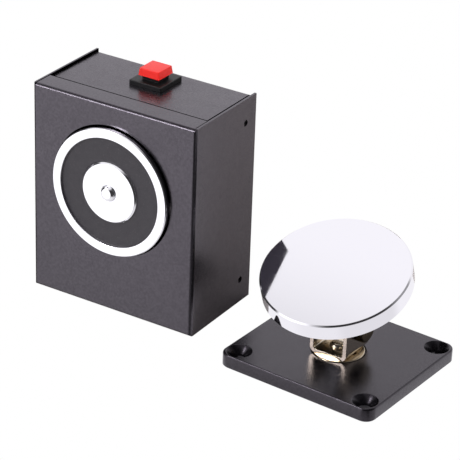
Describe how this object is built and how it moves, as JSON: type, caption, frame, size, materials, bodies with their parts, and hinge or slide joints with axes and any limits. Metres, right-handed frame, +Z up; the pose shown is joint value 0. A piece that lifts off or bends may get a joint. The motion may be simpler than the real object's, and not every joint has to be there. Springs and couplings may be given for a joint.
{
  "type": "electromagnetic door holder",
  "caption": "Wall box with round holding magnet, release pin and test button, and a door keeper: round armature disc on a hinged swivel yoke over a square plate.",
  "frame": {"origin": "middle of the ground under both halves as they stand side by side", "axes": "+Z up, the magnet faces -Y, +X from the magnet unit to the keeper"},
  "size_m": [0.2077, 0.0813, 0.1171],
  "materials": {
    "satin_black": "satin black powder coat on steel",
    "chrome_plate": "bright polished plating",
    "bright_zinc": "turned steel with bright zinc",
    "nickel": "warm bright nickel plating",
    "dark_zinc": "dull olive zinc",
    "black_oxide": "black oxide",
    "spring_steel": "spring wire",
    "brass": "turned brass",
    "tinned_brass": "tinned brass",
    "copper_wire": "enamelled copper wire",
    "black_resin": "cast resin, slightly grainy",
    "natural_nylon": "moulded nylon",
    "black_plastic": "moulded, black",
    "red_plastic": "moulded, red"
  },
  "bodies": {
    "holder": {"base_plate": "satin_black", "button_blade_1": "tinned_brass", "button_blade_2": "tinned_brass", "button_housing": "black_plastic", "button_nut": "black_plastic", "button_spring": "spring_steel", "chassis": "satin_black", "coil_bobbin": "natural_nylon", "coil_winding": "copper_wire", "cover_screw_1": "black_oxide", "cover_screw_2": "black_oxide", "cover_screw_3": "black_oxide", "cover_screw_4": "black_oxide", "front_cover": "satin_black", "magnet_bolt": "bright_zinc", "magnet_core": "chrome_plate", "magnet_pot": "chrome_plate", "magnet_standoff": "bright_zinc", "pin_bush": "brass", "pin_spring": "spring_steel", "potting_ring": "black_resin", "swivel_rivet": "nickel", "terminal_block": "natural_nylon", "terminal_screw_1": "brass", "terminal_screw_2": "brass", "terminal_screw_3": "brass", "terminal_screw_4": "brass"},
    "button": {"button_cap": "red_plastic"},
    "pin": {"release_pin": "chrome_plate"},
    "yoke": {"swivel_disc": "nickel", "swivel_yoke": "nickel", "hinge_bolt": "dark_zinc", "hinge_nut": "nickel", "hinge_washer_1": "nickel", "hinge_washer_2": "nickel"},
    "armature": {"armature_stem": "bright_zinc", "armature_disc": "chrome_plate"}
  },
  "joints": [
    {"name": "button_press", "type": "slide", "parent": "holder", "child": "button", "axis": [0, 0, -1], "range_m": [0, 0.0019], "stiffness_N_per_m": 400, "springref_m": -0.003, "deforming": ["button_spring"]},
    {"name": "pin_press", "type": "slide", "parent": "holder", "child": "pin", "axis": [0, 1, 0], "range_m": [0, 0.0019], "stiffness_N_per_m": 1500, "springref_m": -0.003, "deforming": ["pin_spring"]},
    {"name": "yoke_swivel", "type": "hinge", "parent": "holder", "child": "yoke", "pos_m": [0.05915, 0, 0.00728], "axis": [0, 0, 1], "continuous": true},
    {"name": "armature_tilt", "type": "hinge", "parent": "yoke", "child": "armature", "pos_m": [0.05926, 0.004, 0.0201], "axis": [0.9997, -0.0262, 0], "range_deg": [-63.9, 26.1]}
  ]
}
